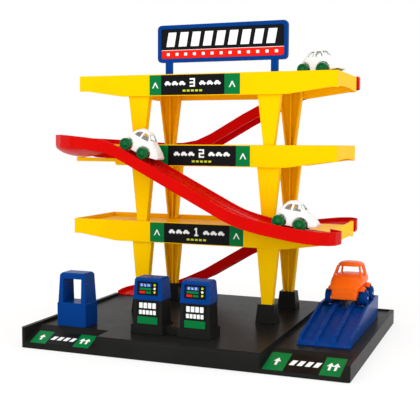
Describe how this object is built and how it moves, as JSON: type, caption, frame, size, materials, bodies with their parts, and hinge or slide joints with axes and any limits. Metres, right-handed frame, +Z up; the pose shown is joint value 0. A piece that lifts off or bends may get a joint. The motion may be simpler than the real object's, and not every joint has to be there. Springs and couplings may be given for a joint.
{
  "type": "toy service station",
  "caption": "Toy car park and filling station: parking decks on posts, joined by car ramps with a half-circle turn, over a base tray with pumps, booth, service ramp and toy cars.",
  "frame": {"origin": "on the ground under the middle of the whole toy's bounding box", "axes": "+X to the right along the decks, +Y from the front to the back, +Z up"},
  "size_m": [0.4326, 0.302, 0.378],
  "materials": {
    "yellow_plastic": "smooth moulded, glossy",
    "red_plastic": "smooth moulded, glossy",
    "blue_plastic": "smooth moulded, glossy",
    "black_plastic": "smooth moulded, glossy",
    "white_plastic": "smooth moulded, glossy",
    "orange_plastic": "smooth moulded, glossy",
    "green_plastic": "smooth moulded, glossy",
    "steel": "drawn wire"
  },
  "bodies": {
    "station": {"Base_tray": "black_plastic", "Post_socket_front_left": "black_plastic", "Post_socket_front_right": "black_plastic", "Post_socket_back_left": "black_plastic", "Post_socket_back_right": "black_plastic", "Post_1_front_left": "yellow_plastic", "Post_1_front_right": "yellow_plastic", "Post_1_back_left": "yellow_plastic", "Post_1_back_right": "yellow_plastic", "Post_2_front_left": "yellow_plastic", "Post_2_front_right": "yellow_plastic", "Post_2_back_left": "yellow_plastic", "Post_2_back_right": "yellow_plastic", "Post_3_front_left": "yellow_plastic", "Post_3_front_right": "yellow_plastic", "Post_3_back_left": "yellow_plastic", "Post_3_back_right": "yellow_plastic", "Deck_1": "yellow_plastic", "Deck_2": "yellow_plastic", "Deck_3": "yellow_plastic", "Ramp_upper": "red_plastic", "Ramp_middle": "red_plastic", "Ramp_lower": "red_plastic", "Sign_board": "blue_plastic", "Pump_island": "black_plastic", "Pump_body_left": "black_plastic", "Pump_body_right": "black_plastic", "Pump_head_left": "blue_plastic", "Pump_head_right": "blue_plastic", "Cashier_booth": "blue_plastic", "Service_ramp": "blue_plastic"},
    "Car_top_deck": {"Car_top_deck_shell": "white_plastic"},
    "Car_top_deck_front_wheels": {"Car_top_deck_front_axle": "steel", "Car_top_deck_front_left_wheel": "green_plastic", "Car_top_deck_front_right_wheel": "green_plastic"},
    "Car_top_deck_rear_wheels": {"Car_top_deck_rear_axle": "steel", "Car_top_deck_rear_left_wheel": "green_plastic", "Car_top_deck_rear_right_wheel": "green_plastic"},
    "Car_ramp_high": {"Car_ramp_high_shell": "white_plastic"},
    "Car_ramp_high_front_wheels": {"Car_ramp_high_front_axle": "steel", "Car_ramp_high_front_left_wheel": "green_plastic", "Car_ramp_high_front_right_wheel": "green_plastic"},
    "Car_ramp_high_rear_wheels": {"Car_ramp_high_rear_axle": "steel", "Car_ramp_high_rear_left_wheel": "green_plastic", "Car_ramp_high_rear_right_wheel": "green_plastic"},
    "Car_ramp_low": {"Car_ramp_low_shell": "white_plastic"},
    "Car_ramp_low_front_wheels": {"Car_ramp_low_front_axle": "steel", "Car_ramp_low_front_left_wheel": "green_plastic", "Car_ramp_low_front_right_wheel": "green_plastic"},
    "Car_ramp_low_rear_wheels": {"Car_ramp_low_rear_axle": "steel", "Car_ramp_low_rear_left_wheel": "green_plastic", "Car_ramp_low_rear_right_wheel": "green_plastic"},
    "Car_service": {"Car_service_shell": "orange_plastic"},
    "Car_service_front_wheels": {"Car_service_front_axle": "steel", "Car_service_front_left_wheel": "blue_plastic", "Car_service_front_right_wheel": "blue_plastic"},
    "Car_service_rear_wheels": {"Car_service_rear_axle": "steel", "Car_service_rear_left_wheel": "blue_plastic", "Car_service_rear_right_wheel": "blue_plastic"}
  },
  "joints": [
    {"name": "Car_top_deck_roll", "type": "slide", "parent": "station", "child": "Car_top_deck", "axis": [0.9703, -0.2419, 0], "range_m": [-0.15, 0]},
    {"name": "Car_top_deck_front_wheels_spin", "type": "hinge", "parent": "Car_top_deck", "child": "Car_top_deck_front_wheels", "pos_m": [0.15138, 0.01598, 0.3217], "axis": [0.2419, 0.9703, 0], "continuous": true},
    {"name": "Car_top_deck_rear_wheels_spin", "type": "hinge", "parent": "Car_top_deck", "child": "Car_top_deck_rear_wheels", "pos_m": [0.12712, 0.02202, 0.3217], "axis": [0.2419, 0.9703, 0], "continuous": true},
    {"name": "Car_ramp_high_roll", "type": "slide", "parent": "station", "child": "Car_ramp_high", "axis": [0.8884, 0, -0.459], "range_m": [-0.004, 0.085]},
    {"name": "Car_ramp_high_front_wheels_spin", "type": "hinge", "parent": "Car_ramp_high", "child": "Car_ramp_high_front_wheels", "pos_m": [-0.0547, -0.04, 0.22239], "axis": [0, 1, 0], "continuous": true},
    {"name": "Car_ramp_high_rear_wheels_spin", "type": "hinge", "parent": "Car_ramp_high", "child": "Car_ramp_high_rear_wheels", "pos_m": [-0.07691, -0.04, 0.23387], "axis": [0, 1, 0], "continuous": true},
    {"name": "Car_ramp_low_roll", "type": "slide", "parent": "station", "child": "Car_ramp_low", "axis": [0.9884, 0, -0.1518], "range_m": [-0.012, 0.012]},
    {"name": "Car_ramp_low_front_wheels_spin", "type": "hinge", "parent": "Car_ramp_low", "child": "Car_ramp_low_front_wheels", "pos_m": [0.13834, -0.04, 0.14449], "axis": [0, 1, 0], "continuous": true},
    {"name": "Car_ramp_low_rear_wheels_spin", "type": "hinge", "parent": "Car_ramp_low", "child": "Car_ramp_low_rear_wheels", "pos_m": [0.11363, -0.04, 0.14829], "axis": [0, 1, 0], "continuous": true},
    {"name": "Car_service_roll", "type": "slide", "parent": "station", "child": "Car_service", "axis": [0, -1, 0], "range_m": [-0.004, 0.015]},
    {"name": "Car_service_front_wheels_spin", "type": "hinge", "parent": "Car_service", "child": "Car_service_front_wheels", "pos_m": [0.17275, 0.045, 0.049], "axis": [1, 0, 0], "continuous": true},
    {"name": "Car_service_rear_wheels_spin", "type": "hinge", "parent": "Car_service", "child": "Car_service_rear_wheels", "pos_m": [0.17275, 0.081, 0.049], "axis": [1, 0, 0], "continuous": true}
  ],
  "couplings": [
    {"joint": "Car_top_deck_front_wheels_spin", "follows": "Car_top_deck_roll", "rad_per_m": 133.33},
    {"joint": "Car_top_deck_rear_wheels_spin", "follows": "Car_top_deck_roll", "rad_per_m": 133.33},
    {"joint": "Car_ramp_high_front_wheels_spin", "follows": "Car_ramp_high_roll", "rad_per_m": 133.33},
    {"joint": "Car_ramp_high_rear_wheels_spin", "follows": "Car_ramp_high_roll", "rad_per_m": 133.33},
    {"joint": "Car_ramp_low_front_wheels_spin", "follows": "Car_ramp_low_roll", "rad_per_m": 133.33},
    {"joint": "Car_ramp_low_rear_wheels_spin", "follows": "Car_ramp_low_roll", "rad_per_m": 133.33},
    {"joint": "Car_service_front_wheels_spin", "follows": "Car_service_roll", "rad_per_m": 103.09},
    {"joint": "Car_service_rear_wheels_spin", "follows": "Car_service_roll", "rad_per_m": 103.09}
  ]
}
